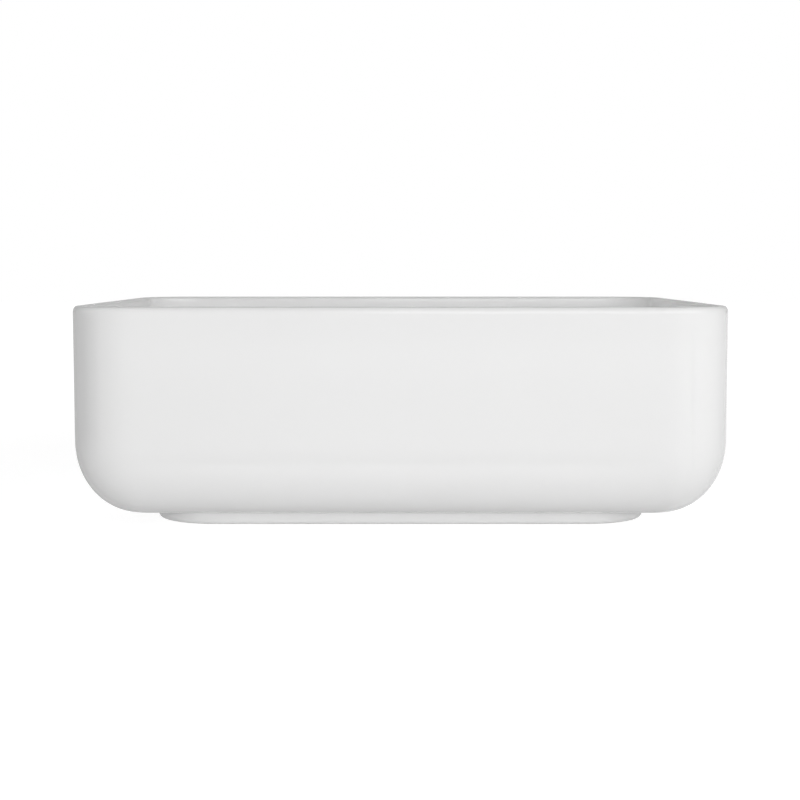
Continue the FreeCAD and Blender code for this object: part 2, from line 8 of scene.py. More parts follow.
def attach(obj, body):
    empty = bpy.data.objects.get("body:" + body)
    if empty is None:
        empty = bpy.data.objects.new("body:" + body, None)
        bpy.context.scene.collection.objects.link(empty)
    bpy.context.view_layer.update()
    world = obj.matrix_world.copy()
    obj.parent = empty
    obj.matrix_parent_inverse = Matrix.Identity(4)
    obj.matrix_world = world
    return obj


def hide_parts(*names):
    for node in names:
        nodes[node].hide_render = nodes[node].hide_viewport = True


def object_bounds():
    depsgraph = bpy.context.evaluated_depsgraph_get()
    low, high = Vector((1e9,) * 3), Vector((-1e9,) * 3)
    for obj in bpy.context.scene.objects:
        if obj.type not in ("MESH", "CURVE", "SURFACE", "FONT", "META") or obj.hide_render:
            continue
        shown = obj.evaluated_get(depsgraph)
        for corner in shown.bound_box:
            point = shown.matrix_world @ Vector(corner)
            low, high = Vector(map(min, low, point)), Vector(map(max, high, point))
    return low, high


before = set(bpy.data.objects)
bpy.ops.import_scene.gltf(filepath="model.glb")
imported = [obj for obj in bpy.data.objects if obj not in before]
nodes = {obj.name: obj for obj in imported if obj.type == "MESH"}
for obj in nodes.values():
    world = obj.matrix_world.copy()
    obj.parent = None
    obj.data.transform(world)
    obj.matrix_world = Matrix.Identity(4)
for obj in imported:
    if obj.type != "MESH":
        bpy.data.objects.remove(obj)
cad_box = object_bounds()

# Sizes are in millimetres, and are made metres where a point is placed.
MM = 0.001


# Sizes of the ceramic

# Half its width, half its depth and its height come from the solids.
HALF_X, HALF_Y, TOP = (round(value / MM, 3) for value in cad_box[1])
CORNER = 44.5
WALL = 8.0
# The rim's inner edge is round, and its outer edge is taller than it is wide. Here and below,
# a tightening says how fast the corners close up where an outline is drawn in.
RIM_INNER = 2.5
RIM_OUTER_X, RIM_OUTER_Z = 2.7, 4.0
RIM_TIGHTENING = 1.12
# The wide blend from the wall into the base, and the base's level.
BLEND_X, BLEND_Z = 39.0, 46.0
BLEND_TIGHTENING = 0.9
BASE = 9.3
# The bowl leans in from its mouth to the foot of its wall, and its floor falls to the drain's lip.
MOUTH_X, MOUTH_Y, MOUTH_CORNER = HALF_X - WALL, HALF_Y - WALL, 35.5
BOWL_LEAN = 2.4
BOWL_X, BOWL_Y, BOWL_CORNER = MOUTH_X - BOWL_LEAN, MOUTH_Y - BOWL_LEAN, 33.5
BOWL_BLEND = 30.0
BOWL_TIGHTENING = 0.7
BOWL_TOP = 137.4
BOWL_FLOOR = 38.0
BOWL_FALL = math.tan(math.radians(1.6))
LIP = 37.0
# The foot and the recess inside it: half width, half depth and corner.
FOOT = (160.0, 118.0, 42.0)
FOOT_EASE = 3.0
FOOT_RING = 14.0
RECESS = tuple(size - FOOT_RING for size in FOOT)
RECESS_EASE = 1.5
RECESS_LEAN = math.tan(math.radians(8.0))
ROOF = 27.0
ROOF_BLEND = 6.0
ROOF_BLEND_INSET = 2.95
ROOF_INSET = 11.0


# Sizes of the waste

# Levels, from the outlet up: lock nut, washer and gasket, the ceramic's pad and seat, and the flange.
OUTLET = 2.5
NUT_BOTTOM = 8.8
WASHER_BOTTOM = 15.8
WASHER_TOP = 17.0
PAD = 22.0
SEAT = 34.0
FLANGE_BOTTOM = 35.6
FLANGE_TOP = 38.0
# Radii of the drain, and of the waste's bore, outlet, tube and flange, and where the tube widens.
DRAIN = 23.0
WASTE_BORE = 18.2
OUTLET_RADIUS = 20.5
TUBE = 20.95
TUBE_BOTTOM = 8.5
FLANGE = 32.0
# The throat opens from the bore to the flange's top.
THROAT = 24.0
THROAT_BOTTOM = 33.5
# Outer radius of both gaskets.
GASKET = 31.0
# The cross of bars and the boss in its middle, which holds the cartridge by its neck.
BOSS_BOTTOM, BOSS_TOP = 20.0, 25.0
BOSS_BORE, BOSS_RADIUS = 9.1, 12.6
NECK_BORE = 9.05
ARM_LENGTH, ARM_WIDTH = 6.6, 4.0
ARM_MIDDLE = (15.4, 0.0, 22.0)
# The plug: its cap with a stem, the groove for the seal, and the spindle with the hole it fits.
CAP = 31.5
CAP_BOTTOM, CAP_TOP = 39.2, 44.0
CROWN = 3.4
STEM = 6.5
STEM_BOTTOM = 36.4
STEM_HOLE_TOP = 41.4
GROOVE_INNER, GROOVE_OUTER, GROOVE_TOP = 24.45, 29.15, 40.0
SEAL_GAP = 0.15
SPINDLE = 3.0
SPINDLE_BOTTOM, SPINDLE_TOP = 17.0, 40.9
SPINDLE_CHAMFER = 0.4
SPINDLE_HOLE = 3.05
# The plunger stops under the guide cap, and a little room is left between them.
PLUNGER_STOP = 29.5
STOP_ROOM = 0.05
# A thread is the radius of its crest, its bottom, its top and its pitch.
PIPE_PITCH, PIPE_DEPTH = 2.309, 1.1
OUTLET_THREAD = (OUTLET_RADIUS, 3.4, 8.4, PIPE_PITCH)
TUBE_THREAD = (TUBE, NUT_BOTTOM, 33.0, PIPE_PITCH)
SPINDLE_PITCH, SPINDLE_DEPTH = 1.0, 0.5
SPINDLE_THREAD = (SPINDLE, 17.6, 40.2, SPINDLE_PITCH)


# Shader sums

class Shade:
    """A socket of a node tree that takes part in Python sums, each of which adds its own Math node."""

    def __init__(self, tree, socket=None):
        self.tree = tree
        self.socket = socket

    def node(self, kind, settings=None, inputs=None, output=0):
        """Add a node of any kind. Its settings come first, then the values or links of its sockets."""
        made = self.tree.nodes.new(kind)
        for name, value in (settings or {}).items():
            setattr(made, name, value)
        for name, value in (inputs or {}).items():
            if isinstance(value, Shade):
                self.tree.links.new(value.socket, made.inputs[name])
            else:
                made.inputs[name].default_value = value
        return Shade(self.tree, made.outputs[output])

    def end(self, kind):
        """Make this socket the tree's surface, through an output node."""
        output = self.tree.nodes.new(kind)
        self.tree.links.new(self.socket, output.inputs["Surface"])

    def sum(self, operation, first, second):
        return self.node("ShaderNodeMath", {"operation": operation}, {0: first, 1: second})

    def __add__(self, other):
        return self.sum("ADD", self, other)

    def __radd__(self, other):
        return self.sum("ADD", other, self)

    def __sub__(self, other):
        return self.sum("SUBTRACT", self, other)

    def __rsub__(self, other):
        return self.sum("SUBTRACT", other, self)

    def __mul__(self, other):
        return self.sum("MULTIPLY", self, other)

    def __rmul__(self, other):
        return self.sum("MULTIPLY", other, self)

    def __truediv__(self, other):
        return self.sum("DIVIDE", self, other)

    def __pow__(self, other):
        return self.sum("POWER", self, other)

    def __abs__(self):
        return self.sum("ABSOLUTE", self, 0.0)

    def bearing(self, other):
        """Angle, in degrees, of a point that lies this far across and the other value ahead."""
        return self.sum("ARCTAN2", self, other) * math.degrees(1)

    def larger(self, other):
        return self.sum("MAXIMUM", self, other)

    def length(self, other):
        """Long side of a right-angled triangle whose short sides are the two values."""
        return (self * self + other * other) ** 0.5

    def rise(self, low, high):
        """0 below low, 1 above high, and a smooth way between."""
        ends = {"Value": self, "From Min": low, "From Max": high}
        return self.node("ShaderNodeMapRange", {"interpolation_type": "SMOOTHSTEP"}, ends)

    def band(self, low, first, last, high):
        """A rise from low to first, times a fall from last to high."""
        return self.rise(low, first) * (1 - self.rise(last, high))

    def mix(self, first, second):
        """A colour that goes from first to second with this value."""
        inputs = {0: self, 6: first, 7: second}
        return self.node("ShaderNodeMix", {"data_type": "RGBA"}, inputs, output=2)


def rgb(red, green, blue):
    return (red, green, blue, 1.0)


def grey(level):
    return rgb(level, level, level)


class Finish:
    """A material in the making: its tree, its shader and the coordinates that its patterns read."""

    def __init__(self, name, **constants):
        self.material = bpy.data.materials.new(name)
        self.material.use_nodes = True
        tree = self.material.node_tree
        self.shader = tree.nodes["Principled BSDF"]
        self.start = Shade(tree)
        self.place = self.start.node("ShaderNodeTexCoord", output="Object")
        self.across, self.deep, self.up = (
            self.start.node("ShaderNodeSeparateXYZ", inputs={0: self.place}, output=k) for k in range(3)
        )
        for socket, value in constants.items():
            self.shader.inputs[socket].default_value = value

    def noise(self, scale, detail=2.0):
        """Soft noise from 0 to 1, with scale waves to the metre."""
        inputs = {"Vector": self.place, "Scale": scale, "Detail": detail}
        return self.start.node("ShaderNodeTexNoise", inputs=inputs)

    def cells(self, scale):
        """Distance to the nearest of many scattered points, in cell widths."""
        return self.start.node("ShaderNodeTexVoronoi", inputs={"Vector": self.place, "Scale": scale})

    def feed(self, socket, value):
        self.start.tree.links.new(value.socket, self.shader.inputs[socket])

    def relief(self, height, depth):
        """Bump from a height of 0 to 1, depth metres tall."""
        inputs = {"Height": height, "Distance": depth}
        self.feed("Normal", self.start.node("ShaderNodeBump", inputs=inputs))


# Finishes

def white_glaze():
    """Gloss white glaze, bare clay under the foot and a thin, dull coat in the recess."""
    finish = Finish("white_glaze", IOR=1.52)
    clouds = finish.noise(9.0, 3.0)
    grain = finish.noise(900.0, 3.0)
    ragged = (finish.noise(70.0) - 0.5) * 0.0004
    glazed = (finish.up + ragged).rise(0.0001, 0.0005)
    inside_x, inside_y = ((half - RECESS_EASE) * MM for half in RECESS[:2])
    reach = (abs(finish.across) / inside_x).larger(abs(finish.deep) / inside_y)
    roof = finish.up.rise((ROOF - 0.8) * MM, (ROOF + 1.5) * MM)
    under = (1 - reach.rise(0.985, 1.01)) * (1 - roof)
    rim = finish.up.rise((TOP - 3.5) * MM, TOP * MM)
    specks = 1 - finish.cells(420.0).rise(0.05, 0.16)
    white = (clouds * 0.6 + rim * 0.25).mix(rgb(0.905, 0.905, 0.904), rgb(0.883, 0.883, 0.880))
    dull = (clouds * 0.5 + specks * 0.5).mix(rgb(0.84, 0.83, 0.80), rgb(0.70, 0.67, 0.61))
    clay = (grain * 0.7 + specks * 0.3).mix(rgb(0.80, 0.76, 0.70), rgb(0.63, 0.58, 0.51))
    finish.feed("Base Color", glazed.mix(clay, under.mix(white, dull)))
    gloss = 0.05 + clouds * 0.03 + under * (0.22 + grain * 0.12)
    finish.feed("Roughness", glazed * gloss + (1 - glazed) * (0.75 + grain * 0.2))
    ripple = finish.noise(60.0, 1.0) * 0.14 + finish.noise(220.0, 1.0) * 0.03
    finish.relief(ripple * glazed + grain * (1 - glazed) * 1.2 + under * grain * 0.4, 0.00006)
    return finish.material


def chrome_plate():
    """Polished plate with a faint haze and fine wiping marks round the axis."""
    finish = Finish("chrome_plate", Metallic=1.0)
    haze = finish.noise(55.0, 3.0)
    fine = 9000.0
    along = {0: finish.across.length(finish.deep) * fine, 1: finish.up * fine}
    wiped = finish.start.node(
        "ShaderNodeTexNoise",
        {"noise_dimensions": "2D"},
        {"Vector": finish.start.node("ShaderNodeCombineXYZ", inputs=along), "Scale": 1.0, "Detail": 3.0},
    )
    finish.feed("Base Color", haze.mix(rgb(0.80, 0.81, 0.82), rgb(0.70, 0.71, 0.73)))
    finish.feed("Roughness", 0.05 + haze * 0.06 + wiped * 0.04)
    finish.relief(wiped, 0.000004)
    return finish.material


def turned_brass():
    """Machined brass with the tool's rings round the axis and a patchy tarnish."""
    finish = Finish("turned_brass", Metallic=1.0)
    tarnish = finish.noise(120.0, 4.0).rise(0.4, 0.75)
    rings = finish.start.node(
        "ShaderNodeTexWave",
        {"wave_type": "BANDS", "bands_direction": "Z"},
        {"Vector": finish.place, "Scale": 1100.0, "Distortion": 1.2, "Detail": 2.0},
    )
    finish.feed("Base Color", tarnish.mix(rgb(0.80, 0.63, 0.34), rgb(0.57, 0.42, 0.21)))
    finish.feed("Roughness", 0.22 + rings * 0.08 + tarnish * 0.18)
    finish.relief(rings, 0.00001)
    return finish.material


def spring_wire():
    """Drawn steel wire with fine streaks."""
    finish = Finish("spring_wire", Metallic=1.0)
    streaks = finish.noise(2600.0, 3.0)
    finish.feed("Base Color", streaks.mix(rgb(0.62, 0.62, 0.63), rgb(0.45, 0.45, 0.47)))
    finish.feed("Roughness", 0.24 + streaks * 0.16)
    finish.relief(streaks, 0.000006)
    return finish.material


def moulded_rubber():
    """Black rubber with a fine bloom and mould grain."""
    finish = Finish("moulded_rubber")
    bloom = finish.noise(140.0, 4.0)
    grain = finish.noise(3200.0)
    finish.feed("Base Color", bloom.mix(rgb(0.018, 0.018, 0.019), rgb(0.055, 0.054, 0.052)))
    finish.feed("Roughness", 0.55 + bloom * 0.2 + grain * 0.1)
    finish.relief(grain, 0.00002)
    return finish.material


def moulded_plastic(name, light, dark):
    """Acetal with a soft spark-eroded mould texture."""
    finish = Finish(name, IOR=1.48)
    flow = finish.noise(90.0)
    grain = finish.noise(2400.0)
    finish.feed("Base Color", flow.mix(light, dark))
    finish.feed("Roughness", 0.38 + grain * 0.16 + flow * 0.06)
    finish.relief(grain, 0.00002)
    return finish.material


GLAZE = white_glaze()
CHROME = chrome_plate()
BRASS = turned_brass()
WIRE = spring_wire()
RUBBER = moulded_rubber()
WHITE_ACETAL = moulded_plastic("white_acetal", rgb(0.83, 0.83, 0.81), rgb(0.76, 0.76, 0.73))
GREY_ACETAL = moulded_plastic("grey_acetal", rgb(0.36, 0.37, 0.39), rgb(0.29, 0.30, 0.32))


# Pieces

def make_piece(name, bm, material, body, stands_for):
    """Turn a bmesh into a smooth piece that rides on a body in place of a node."""
    mesh = bpy.data.meshes.new(name)
    bm.to_mesh(mesh)
    bm.free()
    mesh.shade_smooth()
    mesh.materials.append(material)
    piece = bpy.data.objects.new(name, mesh)
    bpy.context.scene.collection.objects.link(piece)
    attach(piece, body)
    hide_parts(stands_for)
    return piece


def even_shading(piece):
    """Let the large flats set the normals, so that eased edges catch the light and flats stay flat."""
    piece.modifiers.new("even_shading", "WEIGHTED_NORMAL").keep_sharp = True


def ease_off(bm, geom, amount, affect):
    """Round off corners of an outline, or edges of a solid, by an amount."""
    bmesh.ops.bevel(
        bm, geom=geom, offset=amount * MM, affect=affect, segments=3, profile=0.5, material=-1
    )


def loft(rings, columns):
    """One closed skin through rings that have the same columns, so its mesh is four-sided everywhere.

    A ring is an outline, from column to (x, y), and a level or a function of (x, y) that gives it.
    """
    bm = bmesh.new()
    column = bm.verts.layers.int.new("column")
    verts = bmesh.ops.create_circle(bm, segments=columns, radius=1.0)["verts"]
    for index, vert in enumerate(verts):
        vert[column] = index
    edges = first = list(bm.edges)
    for number, (outline, level) in enumerate(rings):
        if number:
            made = bmesh.ops.extrude_edge_only(bm, edges=edges)["geom"]
            verts = [item for item in made if isinstance(item, bmesh.types.BMVert)]
            new = set(verts)
            edges = [edge for vert in verts for edge in vert.link_edges if new.issuperset(edge.verts)]
            edges = list(dict.fromkeys(edges))
        for vert in verts:
            x, y = outline(vert[column])
            z = level(x, y) if callable(level) else level
            vert.co = Vector((x, y, z)) * MM
    bmesh.ops.bridge_loops(bm, edges=first + edges)
    bmesh.ops.recalc_face_normals(bm, faces=bm.faces)
    return bm


def round_line(radius, columns):
    """A circle about the drain's axis, as a function from column to (x, y)."""

    def point(column):
        turn = 2 * math.pi * column / columns
        return radius * math.cos(turn), radius * math.sin(turn)

    return point


# Ceramic

SIDE_STEPS = 5
CORNER_STEPS = 20
FRONT_STEPS = 5
QUARTER = SIDE_STEPS + CORNER_STEPS + FRONT_STEPS
COLUMNS = 4 * QUARTER
# A power of 2 makes a corner a plain arc. A little more lets it ease in and out of its curve.
PLAIN = 2.0
EASED = 2.25


def rounded(half_x, half_y, corner, power=EASED):
    """A rectangle with round corners, as a function from column to (x, y)."""

    def point(column):
        quarter, step = divmod(column, QUARTER)
        if quarter % 2:
            step = QUARTER - step
        turn = min(max(step - SIDE_STEPS, 0), CORNER_STEPS) / CORNER_STEPS * math.pi / 2
        x = half_x - corner * (1 - math.cos(turn) ** (2 / power))
        y = half_y - corner * (1 - math.sin(turn) ** (2 / power))
        if step < SIDE_STEPS:
            y = (half_y - corner) * step / SIDE_STEPS
        if step > SIDE_STEPS + CORNER_STEPS:
            x = (half_x - corner) * (QUARTER - step) / FRONT_STEPS
        return (-x if quarter in (1, 2) else x), (-y if quarter > 1 else y)

    return point


def wall_line(inset, tightening):
    """The wall's outline, drawn in all round."""
    return rounded(HALF_X - inset, HALF_Y - inset, CORNER - tightening * inset)


def arc_line(size, inset):
    """The foot's or the recess's outline, drawn in all round, with plain arcs for corners."""
    half_x, half_y, corner = size
    return rounded(half_x - inset, half_y - inset, corner - inset, PLAIN)


def between(first, second, share):
    """An outline part of the way from one to another."""

    def point(column):
        (x0, y0), (x1, y1) = first(column), second(column)
        return x0 + (x1 - x0) * share, y0 + (y1 - y0) * share

    return point


def quarter_turn(steps):
    """Cosine and sine of even steps from 0 to 90 degrees."""
    angles = [math.pi / 2 * k / steps for k in range(steps + 1)]
    return [(math.cos(a), math.sin(a)) for a in angles]


def fall(x, y):
    """Level of the bowl's floor, which falls to the drain."""
    return BOWL_FLOOR + math.hypot(x, y) * BOWL_FALL


def above_floor(height):
    """A level that keeps its height above the falling floor."""
    return lambda x, y: fall(x, y) + height


def up_wall(share):
    """A level part of the way up the bowl's wall."""
    return lambda x, y: (fall(x, y) + BOWL_BLEND) * (1 - share) + BOWL_TOP * share


def bowl_rings():
    """The inside, from the drain's lip over the floor and up the wall to below the rim."""
    lip = round_line(LIP, COLUMNS)
    edge = rounded(BOWL_X - BOWL_BLEND, BOWL_Y - BOWL_BLEND, BOWL_CORNER - BOWL_TIGHTENING * BOWL_BLEND)
    rings = [(between(lip, edge, share), fall) for share in (0.0, 0.08, 0.25, 0.5, 0.75, 0.92)]
    for cosine, sine in quarter_turn(12):
        inset = BOWL_BLEND * (1 - sine)
        outline = rounded(BOWL_X - inset, BOWL_Y - inset, BOWL_CORNER - BOWL_TIGHTENING * inset)
        rings.append((outline, above_floor(BOWL_BLEND * (1 - cosine))))
    foot_of_wall = rounded(BOWL_X, BOWL_Y, BOWL_CORNER)
    mouth = rounded(MOUTH_X, MOUTH_Y, MOUTH_CORNER)
    for share in (0.08, 0.3, 0.55, 0.8, 0.95):
        rings.append((between(foot_of_wall, mouth, share), up_wall(share)))
    return rings


def rim_rings():
    """The rim: its inner edge, its narrow flat, and its outer edge, eased further down the wall."""
    rings = []
    for cosine, sine in quarter_turn(5):
        inset = WALL - RIM_INNER * (1 - cosine)
        rings.append((wall_line(inset, RIM_TIGHTENING), TOP - RIM_INNER + RIM_INNER * sine))
    for cosine, sine in quarter_turn(7):
        inset = RIM_OUTER_X * (1 - sine)
        rings.append((wall_line(inset, RIM_TIGHTENING), TOP - RIM_OUTER_Z + RIM_OUTER_Z * cosine))
    return rings


def outer_rings():
    """The upright wall and the wide blend into the base, which is a little taller than it is wide."""
    rings = [(wall_line(0.0, 0.0), level) for level in (135.2, 130.0, 110.0, 88.0, 68.0)]
    for cosine, sine in quarter_turn(18):
        outline = wall_line(BLEND_X * (1 - cosine), BLEND_TIGHTENING)
        rings.append((outline, BASE + BLEND_Z * (1 - sine)))
    return rings


def foot_rings():
    """The crease under the base, the low foot, its flat ring and the recess inside it."""
    half_x, half_y, corner = FOOT
    rings = [(rounded(half_x + 3.0, half_y + 3.4, 24.0, PLAIN), 9.15)]
    for out, level in ((0.8, 9.05), (0.3, 8.95), (0.05, 8.7), (0.0, 8.2), (0.0, 6.2), (0.0, 4.0)):
        rings.append((rounded(half_x + out, half_y + out, corner, PLAIN), level))
    for cosine, sine in quarter_turn(5):
        rings.append((arc_line(FOOT, FOOT_EASE * (1 - cosine)), FOOT_EASE * (1 - sine)))
    rings.append((arc_line(FOOT, FOOT_RING / 2), 0.0))
    for cosine, sine in quarter_turn(4):
        rings.append((arc_line(RECESS, -RECESS_EASE * (1 - sine)), RECESS_EASE * (1 - cosine)))
    for level in (4.0, 12.0, 19.0):
        rings.append((arc_line(RECESS, level * RECESS_LEAN), level))
    for cosine, sine in quarter_turn(4):
        inset = ROOF_BLEND_INSET + ROOF_BLEND * (1 - cosine)
        rings.append((arc_line(RECESS, inset), ROOF - ROOF_BLEND + ROOF_BLEND * sine))
    return rings


def drain_rings():
    """The recess's roof, the pad round the drain, its bore and the seat for the waste."""
    roof = arc_line(RECESS, ROOF_INSET)
    pad = round_line(38.5, COLUMNS)
    rings = [(between(roof, pad, share), ROOF) for share in (0.0, 0.3, 0.65, 0.92, 1.0)]
    section = [
        (37.2, 26.9), (36.4, 26.2), (36.0, 25.0), (36.0, 23.3), (35.8, 22.5),
        (35.0, PAD), (32.0, PAD), (26.0, PAD), (24.0, PAD), (23.3, 22.2),
        (DRAIN, 22.9), (DRAIN, 26.0), (DRAIN, 30.0), (DRAIN, 33.2), (23.2, 33.8),
        (23.8, SEAT), (26.0, SEAT), (31.0, SEAT), (33.4, SEAT), (33.9, 34.2),
        (34.0, 34.8), (34.0, 36.2), (34.1, 37.2), (34.6, 38.2), (35.6, 38.85),
    ]
    rings += [(round_line(radius, COLUMNS), level) for radius, level in section]
    return rings


def ceramic():
    """The whole casting as one closed skin: bowl, rim, wall, foot, recess and drain."""
    rings = bowl_rings() + rim_rings() + outer_rings() + foot_rings() + drain_rings()
    piece = make_piece("ceramic_body", loft(rings, COLUMNS), GLAZE, "basin", "basin")
    smooth = piece.modifiers.new("smooth", "SUBSURF")
    smooth.levels = smooth.render_levels = 1


# Turned pieces and nuts

TURNED_STEPS = 96
NUT_COLUMNS = 72
ROWS_TO_A_TURN = 8
# Share of a thread's pitch that is flat at its crest, and again at its root.
THREAD_FLAT = 0.15
NUT_TRIM = math.tan(math.radians(30.0))


def turned(bm, section):
    """Spin a section round the drain's axis.

    A corner of the section is a radius, a level and, where it is eased, by how much.
    """
    old_edges, old_faces = set(bm.edges), set(bm.faces)
    corners = [bm.verts.new((corner[0] * MM, 0.0, corner[1] * MM)) for corner in section]
    bm.faces.new(corners)
    for vert, corner in zip(corners, section):
        if len(corner) == 3:
            ease_off(bm, [vert], corner[2], "VERTICES")
    sheet = [face for face in bm.faces if face not in old_faces]
    bmesh.ops.delete(bm, geom=sheet, context="FACES_ONLY")
    outline = [edge for edge in bm.edges if edge not in old_edges]
    on_axis = [edge for edge in outline if all(vert.co.x < 1e-9 for vert in edge.verts)]
    bmesh.ops.delete(bm, geom=on_axis, context="EDGES")
    outline = [edge for edge in bm.edges if edge not in old_edges]
    bmesh.ops.spin(
        bm,
        geom=outline + list(dict.fromkeys(vert for edge in outline for vert in edge.verts)),
        cent=(0, 0, 0),
        axis=(0, 0, 1),
        angle=2 * math.pi,
        steps=TURNED_STEPS,
        use_merge=True,
    )
    bmesh.ops.remove_doubles(bm, verts=bm.verts, dist=1e-6)
    bmesh.ops.recalc_face_normals(bm, faces=bm.faces)


def flat_ring(inner, outer, bottom, top, inner_ease, outer_ease):
    """Section of a flat ring with eased edges."""
    return [
        (inner, bottom, inner_ease),
        (outer, bottom, outer_ease),
        (outer, top, outer_ease),
        (inner, top, inner_ease),
    ]


def thread_rows(crest, bottom, top, pitch):
    """Corners up a wall that is to take a thread."""
    count = round((top - bottom) / pitch * ROWS_TO_A_TURN)
    return [(crest, bottom + (top - bottom) * k / count) for k in range(count + 1)]


def cut_thread(bm, crest, bottom, top, pitch, depth):
    """Press a screw thread into the wall of one radius. It runs out over its first and last turn."""
    for vert in bm.verts:
        x, y, z = vert.co / MM
        radius = math.hypot(x, y)
        if abs(radius - crest) > 0.01 or not bottom < z < top:
            continue
        phase = (z / pitch - math.atan2(y, x) / (2 * math.pi)) % 1.0
        groove = (abs(2 * phase - 1) - THREAD_FLAT) / (1 - 2 * THREAD_FLAT)
        fade = min(1.0, (z - bottom) / pitch, (top - z) / pitch)
        share = 1 - depth * min(max(groove, 0.0), 1.0) * fade / radius
        vert.co = (vert.co.x * share, vert.co.y * share, vert.co.z)


def turned_piece(name, section, material, body):
    """A piece that is turned from one section and stands for the node of the same name."""
    bm = bmesh.new()
    turned(bm, section)
    even_shading(make_piece(name + "_turned", bm, material, body, name))


def hexagon_line(flats):
    """A hexagon with a corner on +X, as a function from column to (x, y)."""

    def point(column):
        turn = 2 * math.pi * column / NUT_COLUMNS
        radius = flats / 2 / math.cos(turn % (math.pi / 3) - math.pi / 6)
        return radius * math.cos(turn), radius * math.sin(turn)

    return point


def hex_nut(name, material, body, flats, bore, bottom, top, ease):
    """A hexagon nut. A cone trims its lower corners, so each flat ends in the usual low arch."""
    hexagon = hexagon_line(flats)
    inner, mouth = round_line(bore, NUT_COLUMNS), round_line(bore + ease, NUT_COLUMNS)

    def arch(x, y):
        return bottom + (math.hypot(x, y) - flats / 2 + ease) * NUT_TRIM

    rings = [
        (inner, bottom + ease),
        (mouth, bottom),
        (round_line(flats / 2 - ease, NUT_COLUMNS), bottom),
        (hexagon, arch),
        (hexagon, top),
        (mouth, top),
        (inner, top - ease),
    ]
    piece = make_piece(name + "_hexagon", loft(rings, NUT_COLUMNS), material, body, name)
    edges = piece.modifiers.new("eased_edges", "BEVEL")
    edges.width = 0.4 * ease * MM
    edges.segments = 2
    edges.limit_method = "ANGLE"
    edges.angle_limit = math.radians(25.0)
    even_shading(piece)


# Waste

def waste():
    """Flange, throat and threaded tube, with the cross of bars and the boss that carry the cartridge."""
    section = [(WASTE_BORE, OUTLET, 0.4), (OUTLET_RADIUS, OUTLET, 0.6)]
    section += thread_rows(*OUTLET_THREAD)
    section += [(TUBE, TUBE_BOTTOM)]
    section += thread_rows(*TUBE_THREAD)
    section += [(TUBE, FLANGE_BOTTOM), (FLANGE, FLANGE_BOTTOM, 0.4), (FLANGE, FLANGE_TOP, 1.2)]
    section += [(THROAT, FLANGE_TOP, 1.8), (WASTE_BORE, THROAT_BOTTOM, 1.6)]
    bm = bmesh.new()
    turned(bm, section)
    cut_thread(bm, *OUTLET_THREAD, PIPE_DEPTH)
    cut_thread(bm, *TUBE_THREAD, PIPE_DEPTH)
    turned(bm, flat_ring(BOSS_BORE, BOSS_RADIUS, BOSS_BOTTOM, BOSS_TOP, 0.3, 0.5))
    out = Matrix.Translation(Vector(ARM_MIDDLE) * MM)
    size = Matrix.Diagonal((ARM_LENGTH * MM, ARM_WIDTH * MM, ARM_WIDTH * MM, 1.0))
    for quarter in range(4):
        place = Matrix.Rotation(quarter * math.pi / 2, 4, "Z") @ out
        arm = bmesh.ops.create_cube(bm, size=1.0, matrix=place @ size)
        edges = list(dict.fromkeys(edge for vert in arm["verts"] for edge in vert.link_edges))
        ease_off(bm, edges, 0.6, "EDGES")
    even_shading(make_piece("waste_fitting", bm, CHROME, "basin", "waste_body"))


def plug_cap():
    """The domed cap, with the stem that takes the spindle and the groove for its seal."""
    hole = [(0.0, STEM_HOLE_TOP), (SPINDLE_HOLE, STEM_HOLE_TOP), (SPINDLE_HOLE, STEM_BOTTOM, 0.3)]
    stem = [(STEM, STEM_BOTTOM, 0.5), (STEM, CAP_BOTTOM, 0.6)]
    groove = [(GROOVE_INNER, CAP_BOTTOM), (GROOVE_INNER, GROOVE_TOP)]
    groove += [(GROOVE_OUTER, GROOVE_TOP), (GROOVE_OUTER, CAP_BOTTOM, 0.25)]
    edge = [(CAP, CAP_BOTTOM, 0.5), (CAP, CAP_TOP - CROWN, 1.0)]
    dome = (CAP**2 + CROWN**2) / (2 * CROWN)
    reaches = (29.5, 26.0, 21.0, 16.0, 11.0, 6.0, 2.5)
    crown = [(reach, CAP_TOP - dome + math.sqrt(dome**2 - reach**2)) for reach in reaches]
    section = hole + stem + groove + edge + crown + [(0.0, CAP_TOP)]
    turned_piece("plug_cap", section, CHROME, "plug")


def cap_seal():
    """The ring in the cap's groove, which closes on the flange."""
    inner, outer = GROOVE_INNER + SEAL_GAP, GROOVE_OUTER - SEAL_GAP
    section = [(inner, FLANGE_TOP, 0.7), (outer, FLANGE_TOP, 0.7)]
    section += [(outer, GROOVE_TOP, 0.2), (inner, GROOVE_TOP, 0.2)]
    turned_piece("cap_seal", section, RUBBER, "plug")


def spindle():
    """The threaded stem that carries the cap, and the nut that locks its height."""
    section = [(0.0, SPINDLE_BOTTOM), (SPINDLE - SPINDLE_CHAMFER, SPINDLE_BOTTOM)]
    section += [(SPINDLE, SPINDLE_BOTTOM + SPINDLE_CHAMFER)]
    section += thread_rows(*SPINDLE_THREAD)
    section += [(SPINDLE - SPINDLE_DEPTH, SPINDLE_TOP), (0.0, SPINDLE_TOP)]
    bm = bmesh.new()
    turned(bm, section)
    cut_thread(bm, *SPINDLE_THREAD, SPINDLE_DEPTH)
    even_shading(make_piece("spindle_thread", bm, BRASS, "plug", "spindle"))
    hex_nut(
        "jam_nut", BRASS, "plug",
        flats=10.0, bore=SPINDLE_HOLE, bottom=33.2, top=STEM_BOTTOM, ease=0.4,
    )


